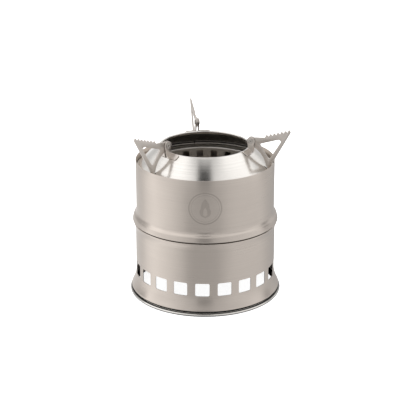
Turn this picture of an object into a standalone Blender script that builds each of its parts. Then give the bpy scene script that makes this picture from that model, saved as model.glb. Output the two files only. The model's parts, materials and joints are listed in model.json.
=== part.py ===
"""Wood-burning camp stove: a double-walled steel body on a vented base, with a pot ring on top.

The base stands on a beaded foot ring and holds the ash pan. The upper section lifts off it: an
outer wall around a perforated fire chamber with a grate. The pot ring lifts off in turn, and
three toothed pot supports fold over its neck on hollow rivets.

Metres, +Z up, the origin on the stove's axis at the level it stands on.
"""

import math

import bmesh
import bpy
from mathutils import Matrix

MM = 0.001

# Driving dimensions, in millimetres
WALL_R = 69.0  # outside of the upper wall
RIM_Z = 137.6  # top edge of the upper wall
SHEET = 0.5  # every pressed sheet
GAP = 0.3  # clearance left between pieces that touch
ROUND_STEPS = 36  # facets round each turned piece
SMALL_STEPS = 12  # facets round a rivet
CLEARANCE = 0.05  # added to GAP where faceted pieces lie at a slant

# Base
BASE_R = WALL_R + 0.8
BASE_STRAIGHT_LOW = 22.8
BASE_STRAIGHT_HIGH = 67.5
FLARE_R = WALL_R + 5.9
FLARE_Z = 5.4
LEDGE_R = WALL_R + 3.4
LEDGE_Z = 74.6
SPIGOT_R = WALL_R - 1.1
SPIGOT_Z = 83.5
BEAD_R = 1.5
BEAD_CENTRE_R = 74.7
BEAD_SIDES = 10
COLLAR_R = 72.2  # outside of the collar above the bead
COLLAR_TOP = 9.0
VENTS = 20
VENT_SIZE = 13.9
VENT_LOW = 19.4
VENT_HIGH = 32.6
FIRST_VENT = -92.3  # degrees
CUTTER_DEPTH = 10.0  # how deep a wall cutter reaches, across the wall
PAN_LEDGE_Z = 50.0
PAN_LEDGE_INNER_R = 53.6
PAN_LEDGE_HEM = 7.0
LEDGE_SLOTS = 8
LEDGE_SLOT_R = 62.5
LEDGE_SLOT_SIZE = (7.0, 22.0, 6.0)
PAN_R = 51.0
PAN_FLANGE = 6.0
PAN_FLOOR_Z = 37.0

# Upper section
SKIRT_R = WALL_R + 3.8
SKIRT_STRAIGHT_Z = 85.6
SKIRT_Z = 76.0
CHAMBER_R = 56.4  # outside of the fire chamber
CHAMBER_FLOOR_Z = 66.3
CHAMBER_LIP = 6.0  # how far the floor's lip reaches in
FLANGE_Z = 131.9  # top of the fire chamber's flange
FLANGE_HEM = 5.0
FLANGE_BEND_R = 1.6
JET_HOLES = 24
JET_SIZE = 6.7
JET_HIGH = 127.7
FIRST_JET = 5.5  # degrees
SPACER_HEM = 6.0
SPACER_HOLES = 12
SPACER_HOLE_R = 3.0
SPACER_HOLE_RING = 62.0
CENTRING_WIRE_R = 0.85
CENTRING_R = 64.2
CENTRING_GAP = 1.0  # degrees
GRATE_R = 54.5
GRATE_T = 1.0
GRATE_HOLE_R = 3.2
GRATE_HOLE_PITCH = 12.8
GRATE_RINGS = 3
PEG_SIDES = 6
PEG_LENGTH = 4.0

# Pot ring
NECK_R = 42.5
LIP_R = 1.2
LIP_Z = 151.6  # centre of the neck lip's curl
CONE_LOW_R = 65.2
CONE_LOW_Z = 134.2
CONE_BULGE = 0.4
CONE_EDGE_R = 1.0  # bend between the cone and its skirt
RING_SKIRT_Z = FLANGE_Z + GAP + 2 * CLEARANCE

# Pot supports
AZIMUTHS = (-20.0, 100.0, 220.0)  # degrees
PIVOT_R = 47.7
PIVOT_Z = 160.9
PLATE_T = 1.2
EAR_T = 0.8
EAR_HEAD_R = 4.2
EAR_INNER = PLATE_T / 2 + 0.35
EAR_OUTER = EAR_INNER + EAR_T
EAR_FOOT_LENGTH = 12.0
EAR_FOOT_IN = 44.7
EAR_FOOT_OUT = 49.6
SHANK_R = 1.5
RIVET_BORE_R = 0.8
RIVET_HEAD_R = 2.4
RIVET_HEAD_T = 0.5
RIVET_HOLE_R = SHANK_R + GAP
SUPPORT_HEAD_R = 3.6
TEETH = 7
TOOTH_FIRST = (15.6, 7.6)  # crest, from the pivot
TOOTH_STEP = (3.72, 1.166)
TOOTH_DEPTH = 2.0


# ---------------------------------------------------------------- helpers

def clear_scene():
    for obj in list(bpy.data.objects):
        bpy.data.objects.remove(obj, do_unlink=True)


def new_collection(name):
    made = bpy.data.collections.new(name)
    bpy.context.scene.collection.children.link(made)
    return made


def new_material(name, colour, roughness, metallic=1.0):
    made = bpy.data.materials.new(name)
    made.use_nodes = True
    shader = made.node_tree.nodes["Principled BSDF"]
    shader.inputs["Base Color"].default_value = (*colour, 1.0)
    shader.inputs["Roughness"].default_value = roughness
    shader.inputs["Metallic"].default_value = metallic
    made.diffuse_color = (*colour, 1.0)
    return made


def arc(centre, radius, start, end, count):
    """Points along an arc in millimetres, from start to end degrees, both ends included."""
    points = []
    for i in range(count + 1):
        angle = math.radians(start + (end - start) * i / count)
        points.append((centre[0] + radius * math.cos(angle), centre[1] + radius * math.sin(angle)))
    return points


def arc_through(first, middle, last, count):
    """Points along the arc that passes through three points."""
    (ax, ay), (bx, by), (cx, cy) = first, middle, last
    d = 2 * (ax * (by - cy) + bx * (cy - ay) + cx * (ay - by))
    a2, b2, c2 = ax * ax + ay * ay, bx * bx + by * by, cx * cx + cy * cy
    centre = (
        (a2 * (by - cy) + b2 * (cy - ay) + c2 * (ay - by)) / d,
        (a2 * (cx - bx) + b2 * (ax - cx) + c2 * (bx - ax)) / d,
    )
    start = math.degrees(math.atan2(ay - centre[1], ax - centre[0]))
    end = math.degrees(math.atan2(cy - centre[1], cx - centre[0]))
    turn = (end - start + 180) % 360 - 180
    return arc(centre, math.dist(first, centre), start, start + turn, count)


def filleted(corners, radii, count=4):
    """A closed outline with each corner rounded to its radius."""
    points = []
    for i, corner in enumerate(corners):
        before, after = corners[i - 1], corners[(i + 1) % len(corners)]
        to_before = math.atan2(before[1] - corner[1], before[0] - corner[0])
        to_after = math.atan2(after[1] - corner[1], after[0] - corner[0])
        half = (to_after - to_before + math.pi) % (2 * math.pi) - math.pi
        reach = radii[i] / math.sin(abs(half) / 2)
        middle = to_before + half / 2
        centre = (corner[0] + reach * math.cos(middle), corner[1] + reach * math.sin(middle))
        start = math.degrees(to_before) - math.copysign(90, half)
        end = start + math.degrees(half) - math.copysign(180, half)
        points += arc(centre, radii[i], start, end, count)
    return points


def add_object(name, data, collection, material=None):
    obj = bpy.data.objects.new(name, data)
    collection.objects.link(obj)
    if material:
        data.materials.append(material)
    return obj


def turned(name, profile, collection, material=None, closed=False, steps=ROUND_STEPS):
    """A profile of (radius, height) turned round Z. An open one is a sheet, thickened inwards."""
    mesh = bpy.data.meshes.new(name)
    shape = bmesh.new()
    points = [shape.verts.new((r * MM, 0, z * MM)) for r, z in profile]
    for one, two in zip(points, points[1:]):
        shape.edges.new((one, two))
    if closed:
        shape.edges.new((points[-1], points[0]))
    shape.to_mesh(mesh)
    shape.free()
    obj = add_object(name, mesh, collection, material)
    screw = obj.modifiers.new("Turn", "SCREW")
    screw.steps = screw.render_steps = steps
    screw.use_merge_vertices = True
    screw.merge_threshold = 0.00001
    screw.use_smooth_shade = True
    if not closed:
        solidify = obj.modifiers.new("Sheet", "SOLIDIFY")
        solidify.thickness = SHEET * MM
        solidify.offset = -1
        solidify.use_even_offset = True
    return obj


def flat_plate(name, outlines, thickness, collection, material=None):
    """A plate in the XY plane from closed outlines, the inner ones being holes."""
    curve = bpy.data.curves.new(name, "CURVE")
    curve.dimensions = "2D"
    curve.fill_mode = "BOTH"
    curve.extrude = thickness / 2 * MM
    for outline in outlines:
        spline = curve.splines.new("POLY")
        spline.points.add(len(outline) - 1)
        for point, (x, y) in zip(spline.points, outline):
            point.co = (x * MM, y * MM, 0, 1)
        spline.use_cyclic_u = True
    return add_object(name, curve, collection, material)


def evaluated_mesh(obj):
    bpy.context.view_layer.update()
    graph = bpy.context.evaluated_depsgraph_get()
    return bpy.data.meshes.new_from_object(obj.evaluated_get(graph))


def as_mesh(obj):
    """The curve object made a mesh, with its caps welded to its sides."""
    mesh = evaluated_mesh(obj)
    shape = bmesh.new()
    shape.from_mesh(mesh)
    bmesh.ops.remove_doubles(shape, verts=shape.verts, dist=0.000001)
    shape.to_mesh(mesh)
    shape.free()
    name, collection, place = obj.name, obj.users_collection[0], obj.matrix_world.copy()
    bpy.data.objects.remove(obj, do_unlink=True)
    made = add_object(name, mesh, collection)
    made.matrix_world = place
    return made


def combine(obj, other, operation):
    boolean = obj.modifiers.new(operation.title(), "BOOLEAN")
    boolean.operation = operation
    boolean.object = other
    boolean.solver = "EXACT"


def settle(obj, crease=30):
    """Applies the object's modifiers and shades it smooth, but for edges over the crease angle."""
    mesh = evaluated_mesh(obj)
    obj.modifiers.clear()
    obj.data = mesh
    mesh.shade_smooth()
    mesh.set_sharp_from_angle(angle=math.radians(crease))


def helper(obj):
    obj.hide_render = True
    obj.display_type = "WIRE"
    return obj


def block_ring(name, count, radius, size, height, first, collection):
    """Blocks of size (radial, tangential, vertical) spaced evenly round the axis."""
    mesh = bpy.data.meshes.new(name)
    shape = bmesh.new()
    for i in range(count):
        turn = Matrix.Rotation(math.radians(first + 360 * i / count), 4, "Z")
        place = turn @ Matrix.Translation((radius * MM, 0, height * MM))
        bmesh.ops.create_cube(shape, matrix=place @ Matrix.Diagonal((*[s * MM for s in size], 1)))
    shape.to_mesh(mesh)
    shape.free()
    return helper(add_object(name, mesh, collection))


def peg_ring(name, rings, peg_r, height, collection):
    """Upright pegs, a count of them round each radius in rings."""
    mesh = bpy.data.meshes.new(name)
    shape = bmesh.new()
    for radius, count in rings:
        for i in range(count):
            turn = Matrix.Rotation(2 * math.pi * i / count, 4, "Z")
            place = turn @ Matrix.Translation((radius * MM, 0, height * MM))
            bmesh.ops.create_cone(
                shape, cap_ends=True, segments=PEG_SIDES, radius1=peg_r * MM,
                radius2=peg_r * MM, depth=PEG_LENGTH * MM, matrix=place,
            )
    shape.to_mesh(mesh)
    shape.free()
    return helper(add_object(name, mesh, collection))


# ---------------------------------------------------------------- base

def make_foot_ring(parts, steel):
    """A rolled bead with a collar that sits inside the base wall's flare."""
    inside = COLLAR_R - SHEET
    side = 360 / BEAD_SIDES
    centre = (BEAD_CENTRE_R, BEAD_R * math.cos(math.radians(side / 2)))
    bead = arc(centre, BEAD_R, 90 + 1.5 * side, -90 - 1.5 * side, 8)
    outer_side = [(COLLAR_R, COLLAR_TOP), (COLLAR_R, bead[0][1])]
    inner_side = [(inside, bead[-1][1]), (inside, COLLAR_TOP)]
    settle(turned("foot_ring", outer_side + bead + inner_side, parts, steel, closed=True))


def make_lower_wall(parts, cutters, steel):
    """The vented base wall, flared at its foot, with a ledge and a spigot for the upper section."""
    flare = []
    for share in (0.3, 0.55, 0.8, 1.0):
        height = BASE_STRAIGHT_LOW + (FLARE_Z - BASE_STRAIGHT_LOW) * share
        flare.append((BASE_R + (FLARE_R - BASE_R) * share**1.8, height))
    profile = [
        (SPIGOT_R, SPIGOT_Z),
        (SPIGOT_R, LEDGE_Z),
        (LEDGE_R - 0.8, LEDGE_Z),
        (LEDGE_R, LEDGE_Z - 0.8),
        (BASE_R + 0.7, BASE_STRAIGHT_HIGH + 3.0),
        (BASE_R, BASE_STRAIGHT_HIGH),
        (BASE_R, BASE_STRAIGHT_LOW),
        *flare,
    ]
    wall = turned("lower_wall", profile, parts, steel)
    size = (CUTTER_DEPTH, VENT_SIZE, VENT_HIGH - VENT_LOW)
    middle = (VENT_HIGH + VENT_LOW) / 2
    vents = block_ring("vent_cutter", VENTS, BASE_R, size, middle, FIRST_VENT, cutters)
    combine(wall, vents, "DIFFERENCE")
    settle(wall)


def make_pan_ledge(parts, cutters, steel):
    """A slotted ring inside the base wall that the ash pan hangs in and air rises through."""
    out = BASE_R - SHEET - GAP - CLEARANCE
    profile = [
        (PAN_LEDGE_INNER_R, PAN_LEDGE_Z),
        (out, PAN_LEDGE_Z),
        (out, PAN_LEDGE_Z - PAN_LEDGE_HEM),
    ]
    ledge = turned("pan_ledge", profile, parts, steel)
    slots = block_ring(
        "ledge_slot_cutter", LEDGE_SLOTS, LEDGE_SLOT_R, LEDGE_SLOT_SIZE, PAN_LEDGE_Z,
        180 / LEDGE_SLOTS, cutters,
    )
    combine(ledge, slots, "DIFFERENCE")
    settle(ledge)


def make_ash_pan(parts, steel):
    """A shallow dish with a flange that rests on the ledge."""
    flange_z = PAN_LEDGE_Z + GAP
    profile = [
        (PAN_R + PAN_FLANGE, flange_z),
        (PAN_R, flange_z),
        (PAN_R - 1, PAN_FLOOR_Z + 2),
        (PAN_R - 3, PAN_FLOOR_Z),
        (0, PAN_FLOOR_Z),
    ]
    settle(turned("ash_pan", profile, parts, steel))


# ---------------------------------------------------------------- upper section

def make_outer_wall(parts, steel):
    """The plain upper wall, whose foot flares out over the base's ledge."""
    flare = []
    for share in (0.35, 0.65, 0.9):
        height = SKIRT_STRAIGHT_Z + (SKIRT_Z + 0.9 - SKIRT_STRAIGHT_Z) * share
        flare.append((WALL_R + (SKIRT_R - WALL_R) * share**1.7, height))
    lip = [(SKIRT_R, SKIRT_Z + 0.9), (SKIRT_R, SKIRT_Z + 0.2), (SKIRT_R - 0.6, SKIRT_Z)]
    profile = [(WALL_R, RIM_Z), (WALL_R, SKIRT_STRAIGHT_Z), *flare, *lip]
    settle(turned("outer_wall", profile, parts, steel))


def make_fire_chamber(parts, cutters, steel):
    """The inner wall, flanged out to the outer wall at its top and in under the grate below."""
    hem_r = WALL_R - SHEET - GAP - SHEET
    under = FLANGE_Z - SHEET
    bend = arc((CHAMBER_R + FLANGE_BEND_R, under - FLANGE_BEND_R), FLANGE_BEND_R, 90, 180, 3)
    profile = [
        (hem_r, under - FLANGE_HEM),
        (hem_r, under),
        *bend,
        (CHAMBER_R, CHAMBER_FLOOR_Z),
        (CHAMBER_R - CHAMBER_LIP, CHAMBER_FLOOR_Z),
    ]
    chamber = turned("fire_chamber", profile, parts, steel)
    size = (CUTTER_DEPTH, JET_SIZE, JET_SIZE)
    middle = JET_HIGH - JET_SIZE / 2
    holes = block_ring("jet_hole_cutter", JET_HOLES, CHAMBER_R, size, middle, FIRST_JET, cutters)
    combine(chamber, holes, "DIFFERENCE")
    settle(chamber)


def make_spacer_ring(parts, cutters, steel):
    """A perforated channel between the two walls. It rests on the base's spigot."""
    out = WALL_R - SHEET - GAP
    inner = CHAMBER_R + GAP + CLEARANCE
    low = SPIGOT_Z + GAP
    profile = [(out, low + SPACER_HEM), (out, low), (inner, low), (inner, low + SPACER_HEM)]
    ring = turned("spacer_ring", profile, parts, steel)
    rings = [(SPACER_HOLE_RING, SPACER_HOLES)]
    holes = peg_ring("spacer_hole_cutter", rings, SPACER_HOLE_R, low, cutters)
    combine(ring, holes, "DIFFERENCE")
    settle(ring)


def make_centring_ring(parts, steel):
    """A split wire ring on the flange. The pot ring's skirt drops round it."""
    curve = bpy.data.curves.new("centring_ring", "CURVE")
    curve.dimensions = "3D"
    curve.bevel_depth = CENTRING_WIRE_R * MM
    curve.bevel_resolution = 1
    curve.use_fill_caps = True
    height = FLANGE_Z + GAP + CENTRING_WIRE_R
    start = AZIMUTHS[1] + CENTRING_GAP / 2
    points = arc((0, 0), CENTRING_R, start, start + 360 - CENTRING_GAP, ROUND_STEPS)
    spline = curve.splines.new("POLY")
    spline.points.add(len(points) - 1)
    for point, (x, y) in zip(spline.points, points):
        point.co = (x * MM, y * MM, height * MM, 1)
    add_object("centring_ring", curve, parts, steel)


def make_grate(parts, cutters, steel):
    """A perforated disc that rests on the fire chamber's lower lip."""
    low = CHAMBER_FLOOR_Z + SHEET + GAP
    mesh = bpy.data.meshes.new("grate")
    shape = bmesh.new()
    bmesh.ops.create_cone(
        shape, cap_ends=True, segments=ROUND_STEPS, radius1=GRATE_R * MM, radius2=GRATE_R * MM,
        depth=GRATE_T * MM,
    )
    shape.to_mesh(mesh)
    shape.free()
    grate = add_object("grate", mesh, parts, steel)
    grate.location.z = (low + GRATE_T / 2) * MM
    rings = [(GRATE_HOLE_PITCH * i, max(1, 6 * i)) for i in range(GRATE_RINGS + 1)]
    holes = peg_ring("grate_hole_cutter", rings, GRATE_HOLE_R, low + GRATE_T / 2, cutters)
    combine(grate, holes, "DIFFERENCE")
    settle(grate)


# ---------------------------------------------------------------- pot ring

def cone_line():
    """The top of the pot ring's cone, from the neck lip to its edge, slightly domed."""
    drop = math.degrees(math.atan2(LIP_Z - CONE_LOW_Z, CONE_LOW_R - NECK_R - LIP_R))
    lip = arc((NECK_R + LIP_R, LIP_Z), LIP_R, 180, 90 - drop, 3)
    edge = arc((CONE_LOW_R - 0.2, CONE_LOW_Z - 1.3), CONE_EDGE_R, 90 - drop, 0, 1)
    start, end = lip[-1], edge[0]
    cone = []
    for share in (1 / 3, 2 / 3):
        bulge = CONE_BULGE * 4 * share * (1 - share)
        cone.append((
            start[0] + (end[0] - start[0]) * share + bulge * math.sin(math.radians(drop)),
            start[1] + (end[1] - start[1]) * share + bulge * math.cos(math.radians(drop)),
        ))
    return lip, cone, edge


def height_on_cone(radius):
    lip, cone, edge = cone_line()
    line = [lip[-1], *cone, edge[0]]
    for (r0, z0), (r1, z1) in zip(line, line[1:]):
        if r0 <= radius <= r1:
            return z0 + (z1 - z0) * (radius - r0) / (r1 - r0)
    raise ValueError(f"radius {radius} is off the cone")


def make_pot_ring(parts, steel):
    """The domed cone with its rolled neck and a short skirt that stands on the flange."""
    lip, cone, edge = cone_line()
    profile = [(NECK_R, LIP_Z - 1.6), *lip, *cone, *edge, (edge[-1][0], RING_SKIRT_Z)]
    settle(turned("pot_ring", profile, parts, steel))


def foot_band(cutters):
    """A band lying on the cone, from which each ear's welded foot is taken."""
    lift = GAP + CLEARANCE
    top = lift + EAR_T
    low_in, low_out = height_on_cone(EAR_FOOT_IN), height_on_cone(EAR_FOOT_OUT)
    tilt = math.atan2(low_in - low_out, EAR_FOOT_OUT - EAR_FOOT_IN)

    def above(radius, height, distance):
        return (radius + distance * math.sin(tilt), height + distance * math.cos(tilt))

    profile = [
        above(EAR_FOOT_IN, low_in, top),
        above(EAR_FOOT_OUT, low_out, top),
        above(EAR_FOOT_OUT, low_out, lift),
        above(EAR_FOOT_IN, low_in, lift),
    ]
    return helper(turned("ear_foot_band", profile, cutters, closed=True))


def ear_outline():
    """The ear's outline from the pivot, its lower edge sunk halfway into its foot."""
    sink = GAP + CLEARANCE + EAR_T / 2
    low_in = height_on_cone(EAR_FOOT_IN + 0.3) + sink - PIVOT_Z
    low_out = height_on_cone(EAR_FOOT_OUT - 0.3) + sink - PIVOT_Z
    head = arc((0, 0), EAR_HEAD_R, 0, 180, 8)
    shoulder = (EAR_HEAD_R, -4.6)
    return [
        *head,
        (EAR_FOOT_IN + 0.6 - PIVOT_R, low_in + 1.0),
        (EAR_FOOT_IN + 0.6 - PIVOT_R, low_in),
        (EAR_FOOT_OUT - PIVOT_R, low_out),
        shoulder,
    ]


def make_seat(number, azimuth, parts):
    """The frame of one hinge: its X runs outwards, its Y up and its Z along the rivet."""
    seat = add_object(f"seat_{number}", None, parts)
    turn = Matrix.Rotation(math.radians(azimuth), 4, "Z")
    place = Matrix.Translation((PIVOT_R * MM, 0, PIVOT_Z * MM))
    seat.matrix_world = turn @ place @ Matrix.Rotation(math.radians(90), 4, "X")
    seat.empty_display_size = 0.01
    hinge = add_object(f"hinge_{number}", None, parts)
    hinge.parent = seat
    hinge.empty_display_size = 0.01
    return seat, hinge


def make_ear(name, seat, side, band, parts, cutters, steel):
    """One bent tab: an upright ear on the given side of the support, and its foot on the cone."""
    hole = arc((0, 0), RIVET_HOLE_R, 0, 330, 11)
    plate = flat_plate(name, [ear_outline(), hole], EAR_T, parts)
    plate = as_mesh(plate)
    plate.data.materials.append(steel)
    plate.parent = seat
    plate.location.z = side * (EAR_INNER + EAR_OUTER) / 2 * MM
    wedge = bpy.data.meshes.new(name + "_wedge")
    shape = bmesh.new()
    middle = EAR_INNER + CLEARANCE + EAR_FOOT_LENGTH / 2
    size = (14.0, 24.0, EAR_FOOT_LENGTH)
    place = Matrix.Translation((0, -8 * MM, side * middle * MM))
    bmesh.ops.create_cube(shape, matrix=place @ Matrix.Diagonal((*[s * MM for s in size], 1)))
    shape.to_mesh(wedge)
    shape.free()
    cutter = helper(add_object(name + "_wedge", wedge, cutters))
    cutter.parent = seat
    foot = helper(add_object(name + "_foot", evaluated_mesh(band), cutters))
    combine(foot, cutter, "INTERSECT")
    combine(plate, foot, "UNION")
    settle(plate)


def make_rivet(name, seat, parts, steel):
    """A hollow rivet through both ears and the support, with a head outside each ear."""
    inner = EAR_OUTER + GAP
    outer = inner + RIVET_HEAD_T
    half = [
        (RIVET_BORE_R, outer),
        (RIVET_HEAD_R - RIVET_HEAD_T / 2, outer),
        (RIVET_HEAD_R, outer - RIVET_HEAD_T / 2),
        (RIVET_HEAD_R, inner),
        (SHANK_R, inner),
    ]
    profile = half + [(r, -z) for r, z in reversed(half)]
    rivet = turned(name, profile, parts, steel, closed=True, steps=SMALL_STEPS)
    settle(rivet)
    rivet.parent = seat


def tooth_line():
    """The toothed top edge, from the pivot outwards, ending in a level crest at the tip."""
    points = []
    for i in range(TEETH):
        x = TOOTH_FIRST[0] + TOOTH_STEP[0] * i
        y = TOOTH_FIRST[1] + TOOTH_STEP[1] * i
        half_crest = 0.6 if i == TEETH - 1 else 0.3
        points += [(x - half_crest, y), (x + half_crest, y)]
        if i < TEETH - 1:
            points.append((x + TOOTH_STEP[0] / 2 + 0.2, y + TOOTH_STEP[1] / 2 - TOOTH_DEPTH))
    return points


def make_pot_support(name, hinge, parts, steel):
    """A toothed plate with a triangular window, whose foot stands in the gutter by the rim."""
    head = arc((0, 0), SUPPORT_HEAD_R, 240, 96, 8)
    inner_edge = arc_through((15.4, -23.5), (10.8, -12.9), (4.6, -6.8), 6)
    foot = arc((17.9, -24.1), 1.7, 335, 205, 4)
    outline = [*head, (13.6, 4.6), *tooth_line(), (39.4, 13.2), (39.6, 12.0), *foot, *inner_edge]
    window = filleted([(8.8, -2.1), (18.4, -17.3), (32.4, 5.6)], [1.1, 1.7, 2.0])
    hole = arc((0, 0), RIVET_HOLE_R, 0, 337.5, 15)
    plate = flat_plate(name, [outline, window, hole], PLATE_T, parts, steel)
    plate.parent = hinge


def make_supports(parts, cutters, ear_steel, plate_steel, rivet_steel):
    band = foot_band(cutters)
    for number, azimuth in enumerate(AZIMUTHS, start=1):
        seat, hinge = make_seat(number, azimuth, parts)
        make_ear(f"hinge_ear_{number}_left", seat, 1, band, parts, cutters, ear_steel)
        make_ear(f"hinge_ear_{number}_right", seat, -1, band, parts, cutters, ear_steel)
        make_rivet(f"rivet_{number}", seat, parts, rivet_steel)
        make_pot_support(f"pot_support_{number}", hinge, parts, plate_steel)


def main():
    clear_scene()
    parts = new_collection("wood_camp_stove")
    cutters = new_collection("cutters")
    brushed = new_material("brushed_steel", (0.58, 0.53, 0.48), 0.32)
    polished = new_material("polished_steel", (0.78, 0.75, 0.71), 0.14)
    dark_inside = new_material("inner_steel", (0.32, 0.29, 0.26), 0.4)
    stamped = new_material("stamped_steel", (0.55, 0.51, 0.47), 0.38)
    make_foot_ring(parts, polished)
    make_lower_wall(parts, cutters, brushed)
    make_pan_ledge(parts, cutters, dark_inside)
    make_ash_pan(parts, dark_inside)
    make_outer_wall(parts, brushed)
    make_fire_chamber(parts, cutters, dark_inside)
    make_spacer_ring(parts, cutters, dark_inside)
    make_centring_ring(parts, dark_inside)
    make_grate(parts, cutters, dark_inside)
    make_pot_ring(parts, polished)
    make_supports(parts, cutters, stamped, stamped, polished)


main()
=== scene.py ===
"""Wood-burning camp stove: the finished surfaces, built round the stove's frame.

Each operator makes one piece, or one group of like pieces, in finer mesh than the frame's own, and
gives it its finish. Everything is in metres, +Z up, with the stove's axis on the Z axis.
"""

import json
import math
from typing import NamedTuple

import bmesh
import bpy
from mathutils import Matrix, Vector


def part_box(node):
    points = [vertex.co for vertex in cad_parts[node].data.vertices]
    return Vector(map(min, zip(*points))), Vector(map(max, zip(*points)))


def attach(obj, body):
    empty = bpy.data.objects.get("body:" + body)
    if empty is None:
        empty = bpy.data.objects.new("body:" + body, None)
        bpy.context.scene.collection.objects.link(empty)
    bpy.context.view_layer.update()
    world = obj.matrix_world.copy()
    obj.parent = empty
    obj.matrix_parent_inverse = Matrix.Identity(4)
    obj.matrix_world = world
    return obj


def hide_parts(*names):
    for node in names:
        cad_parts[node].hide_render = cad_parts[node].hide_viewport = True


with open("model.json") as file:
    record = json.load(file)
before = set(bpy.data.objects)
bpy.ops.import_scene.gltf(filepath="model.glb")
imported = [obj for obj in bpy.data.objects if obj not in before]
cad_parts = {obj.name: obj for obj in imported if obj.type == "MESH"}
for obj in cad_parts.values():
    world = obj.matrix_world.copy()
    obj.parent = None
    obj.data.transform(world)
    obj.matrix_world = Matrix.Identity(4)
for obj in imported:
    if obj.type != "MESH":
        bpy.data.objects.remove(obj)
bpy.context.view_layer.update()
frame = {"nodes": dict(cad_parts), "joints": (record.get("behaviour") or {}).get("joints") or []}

bl_info = {
    "name": "Wood Camp Stove",
    "version": (1, 0, 0),
    "blender": (4, 5, 0),
    "location": "View3D > Sidebar > Camp Stove",
    "description": "Builds a double-walled wood-burning camp stove piece by piece",
    "category": "Add Mesh",
}

ROUND_STEPS = 240  # facets round the large turned pieces
SMALL_STEPS = 40  # facets round a rivet
ARC_STEPS = 5  # points on a small bend
GRATE_STEPS = 120  # facets round the grate
PRESS_BEND = 0.0012  # radius of a pressed corner
HAIR = 0.001  # a band this deep is read at the end of a frame node
AXIS_GAP = 0.0002  # how near the axis a turned plate comes
VENT_CUT, JET_CUT, SLOT_CUT, FLOOR_CUT = 0.01, 0.008, 0.006, 0.004  # depths of the punches
SLOT_SIZES, SLOT_CIRCLE = (0.007, 0.022, 0.0034), 0.0625  # of the shelf's air slots
SPACER_HOLE, SPACER_CIRCLE = 0.003, 0.062


# ---------------------------------------------------------------- measures taken from the frame

def points_of(node, low=-1.0, high=1.0):
    """A frame node's points between two heights."""
    return [v.co for v in frame["nodes"][node].data.vertices if low <= v.co.z <= high]


def reach(node, low=-1.0, high=1.0):
    """The largest distance from the axis of a node's points between two heights."""
    return max(math.hypot(p.x, p.y) for p in points_of(node, low, high))


def bore(node, low=-1.0, high=1.0):
    """The smallest distance from the axis of a node's points between two heights."""
    return min(math.hypot(p.x, p.y) for p in points_of(node, low, high))


def low_of(node):
    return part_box(node)[0].z


def top_of(node):
    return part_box(node)[1].z


def hinges():
    """The joints that the pot supports turn on, in order."""
    return sorted(
        (joint for joint in frame["joints"] if joint["type"] == "hinge"),
        key=lambda joint: joint["name"],
    )


WALL_TOP = top_of("outer_wall")
WALL_MIDDLE = (low_of("outer_wall") + WALL_TOP) / 2
BASE_TOP = top_of("lower_wall")
NECK_TOP = top_of("pot_ring")
CONE_FOOT = low_of("pot_ring")
PIVOT_HEIGHT = hinges()[0]["pos_m"][2]
PIVOT_RADIUS = math.hypot(*hinges()[0]["pos_m"][:2])


# ---------------------------------------------------------------- settings

def length(name, description, default):
    return bpy.props.FloatProperty(
        name=name, description=description, default=default, min=0.0, precision=5,
        subtype="DISTANCE", unit="LENGTH",
    )


def angle(name, description, default):
    return bpy.props.FloatProperty(
        name=name, description=description, default=math.radians(default), precision=4,
        subtype="ANGLE", unit="ROTATION",
    )


def colour(name, description, default):
    return bpy.props.FloatVectorProperty(
        name=name, description=description, default=default, size=3, min=0.0, max=1.0,
        subtype="COLOR",
    )


def number(name, description, default):
    return bpy.props.IntProperty(name=name, description=description, default=default, min=1)


class StoveBaseSizes(bpy.types.PropertyGroup):
    """The vented base with its foot ring, shelf and ash pan."""

    sheet: length("Sheet", "Thickness of every pressed sheet", 0.0005)
    wall_radius: length(
        "Wall radius", "Outside of the straight part of the base wall",
        reach("lower_wall", BASE_TOP / 4, BASE_TOP * 0.8),
    )
    straight_low: length("Straight from", "Height at which the wall starts to flare out below", 0.0228)
    straight_high: length("Straight to", "Height at which the wall starts to widen above", 0.0675)
    flare_radius: length(
        "Flare radius", "Outside of the flared foot", reach("lower_wall", 0.0, BASE_TOP / 9),
    )
    curl: length("Curl", "Radius of the edge curled under the flared foot", 0.0003)
    ledge_radius: length(
        "Ledge radius", "Outside of the ledge under the upper section",
        reach("lower_wall", BASE_TOP * 0.85, BASE_TOP),
    )
    ledge_height: length("Ledge height", "Top of that ledge", 0.0746)
    spigot_radius: length(
        "Spigot radius", "Outside of the spigot above the ledge",
        reach("lower_wall", BASE_TOP - HAIR, BASE_TOP),
    )
    vents: number("Vents", "Air vents round the foot", 20)
    vent_size: length("Vent width", "Width of one vent", 0.0139)
    vent_low: length("Vent foot", "Height of the vents' lower edges", 0.0194)
    vent_high: length("Vent head", "Height of the vents' upper edges", 0.0326)
    vent_corner: length("Vent corner", "Radius of a vent's corners", 0.0014)
    first_vent: angle("First vent", "Angle of the middle of the first vent", -92.3)
    bead_radius: length("Bead", "Radius of the rolled bead under the foot", 0.0015)
    pan_radius: length("Pan radius", "Outside of the ash pan's dish", 0.051)
    slots: number("Slots", "Air slots in the shelf", 8)


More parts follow.
